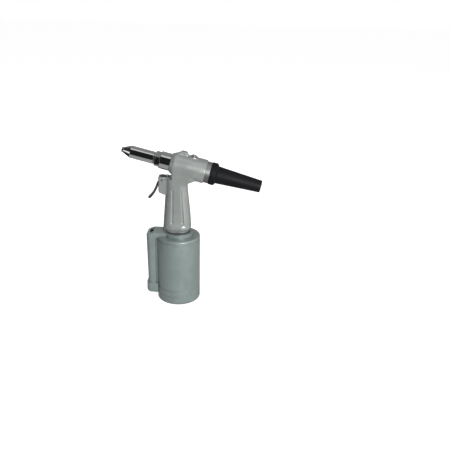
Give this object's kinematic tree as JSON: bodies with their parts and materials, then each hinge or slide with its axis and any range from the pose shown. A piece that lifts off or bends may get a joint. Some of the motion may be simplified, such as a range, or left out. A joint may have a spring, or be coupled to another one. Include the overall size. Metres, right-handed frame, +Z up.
{
  "type": "pneumatic riveter",
  "caption": "Upright air-hydraulic blind rivet gun: air cylinder base with valve chest, cast grip and trigger, tilted head with pulling nose and rear stem collector.",
  "frame": {"origin": "centre of the base's flat underside, on the air cylinder's axis", "axes": "+Z up the air cylinder, -X towards the nose, +X towards the stem collector, +Y the tool's right side with the air inlet"},
  "size_m": [0.2742, 0.087, 0.3207],
  "materials": {
    "silver_paint": "semi-gloss silver-grey metallic enamel over a casting",
    "chrome_steel": "bright chrome plate",
    "zinc_steel": "zinc plated steel",
    "bright_cap": "turned and clear anodised",
    "black_rubber": "moulded black, satin with a fine grain",
    "seal_rubber": "moulded nitrile",
    "black_lever": "black oxide, satin",
    "brass": "turned",
    "copper": "annealed copper",
    "aluminium": "turned",
    "ground_steel": "ground and polished",
    "hardened_steel": "hardened, dark",
    "spring_steel": "drawn wire",
    "muffler_foam": "open sintered black"
  },
  "bodies": {
    "housing": {"air_cylinder": "silver_paint", "base_cap": "silver_paint", "piston_bumper": "seal_rubber", "clamp_nut": "zinc_steel", "foot_gasket": "seal_rubber", "ram_gland": "brass", "ram_seal": "seal_rubber", "valve_sleeve": "brass", "valve_plug": "aluminium", "spool_spring": "spring_steel", "chest_cover": "silver_paint", "exhaust_muffler": "muffler_foam", "chest_cover_screws": "zinc_steel", "inlet_block": "silver_paint", "inlet_block_screws": "zinc_steel", "drilling_plugs": "zinc_steel", "handle_housing": "silver_paint", "trigger_pin": "zinc_steel", "pilot_spring": "spring_steel", "pilot_cap": "brass", "pilot_way_plug": "zinc_steel", "frame_adapter": "chrome_steel", "front_rod_seal": "seal_rubber", "seal_retainer": "zinc_steel", "front_sleeve": "chrome_steel", "sleeve_lock_nut": "chrome_steel", "nosepiece": "chrome_steel", "piston_return_spring": "spring_steel", "rear_end_cap": "bright_cap", "rear_rod_bush": "brass", "end_cap_o_ring": "seal_rubber", "collector_o_ring": "seal_rubber", "oil_filler_screw": "zinc_steel", "filler_sealing_washer": "copper"},
    "trigger": {"trigger_lever": "black_lever"},
    "pull_rod": {"pull_rod": "zinc_steel", "pilot_valve": "aluminium"},
    "spool": {"valve_spool": "aluminium"},
    "air_piston": {"air_piston": "aluminium", "air_piston_seal": "seal_rubber", "ram": "ground_steel", "ram_nut": "zinc_steel"},
    "puller": {"hydraulic_piston": "ground_steel", "hydraulic_piston_seal": "seal_rubber", "jaw_coupler": "hardened_steel", "jaw_case": "hardened_steel", "jaw_spring": "spring_steel"},
    "jaw_pusher": {"jaw_pusher": "hardened_steel"},
    "jaw_1": {"jaw_1": "hardened_steel"},
    "jaw_2": {"jaw_2": "hardened_steel"},
    "jaw_3": {"jaw_3": "hardened_steel"},
    "collector": {"mandrel_collector": "black_rubber"}
  },
  "joints": [
    {"name": "trigger_pivot", "type": "hinge", "parent": "housing", "child": "trigger", "pos_m": [-0.0311, 0, 0.2557], "axis": [0, -1, 0], "range_deg": [0, 17], "stiffness_Nm_per_rad": 0.25, "springref_deg": -20.05},
    {"name": "pull_rod_slide", "type": "slide", "parent": "housing", "child": "pull_rod", "axis": [0.074, 0, 0.9973], "range_m": [0, 0.00285], "deforming": ["pilot_spring"]},
    {"name": "spool_slide", "type": "slide", "parent": "housing", "child": "spool", "axis": [0, 0, 1], "range_m": [0, 0.006], "deforming": ["spool_spring"]},
    {"name": "air_piston_stroke", "type": "slide", "parent": "housing", "child": "air_piston", "axis": [0, 0, 1], "range_m": [0, 0.055], "stiffness_N_per_m": 120, "springref_m": -0.03},
    {"name": "puller_slide", "type": "slide", "parent": "housing", "child": "puller", "axis": [0.972, 0, -0.2351], "range_m": [0, 0.01505], "deforming": ["piston_return_spring"]},
    {"name": "jaw_pusher_slide", "type": "slide", "parent": "puller", "child": "jaw_pusher", "axis": [-0.972, 0, 0.2351], "range_m": [0, 0.00252], "deforming": ["jaw_spring"]},
    {"name": "jaw_1_slide", "type": "slide", "parent": "puller", "child": "jaw_1", "axis": [-0.9996, 0, 0.0279], "range_m": [0, 0.00258]},
    {"name": "jaw_2_slide", "type": "slide", "parent": "puller", "child": "jaw_2", "axis": [-0.9263, 0.1801, 0.331], "range_m": [0, 0.00258]},
    {"name": "jaw_3_slide", "type": "slide", "parent": "puller", "child": "jaw_3", "axis": [-0.9263, -0.1801, 0.331], "range_m": [0, 0.00258]},
    {"name": "collector_pull", "type": "slide", "parent": "housing", "child": "collector", "axis": [0.972, 0, -0.2351], "range_m": [0, 0.03]}
  ],
  "couplings": [
    {"joint": "pull_rod_slide", "follows": "trigger_pivot", "m_per_rad": 0.009437},
    {"joint": "spool_slide", "follows": "trigger_pivot", "m_per_rad": 0.020202},
    {"joint": "puller_slide", "follows": "air_piston_stroke", "ratio": 0.27273},
    {"joint": "jaw_pusher_slide", "follows": "air_piston_stroke", "ratio": 0.045455},
    {"joint": "jaw_1_slide", "follows": "air_piston_stroke", "ratio": 0.04647},
    {"joint": "jaw_2_slide", "follows": "air_piston_stroke", "ratio": 0.04647},
    {"joint": "jaw_3_slide", "follows": "air_piston_stroke", "ratio": 0.04647}
  ]
}
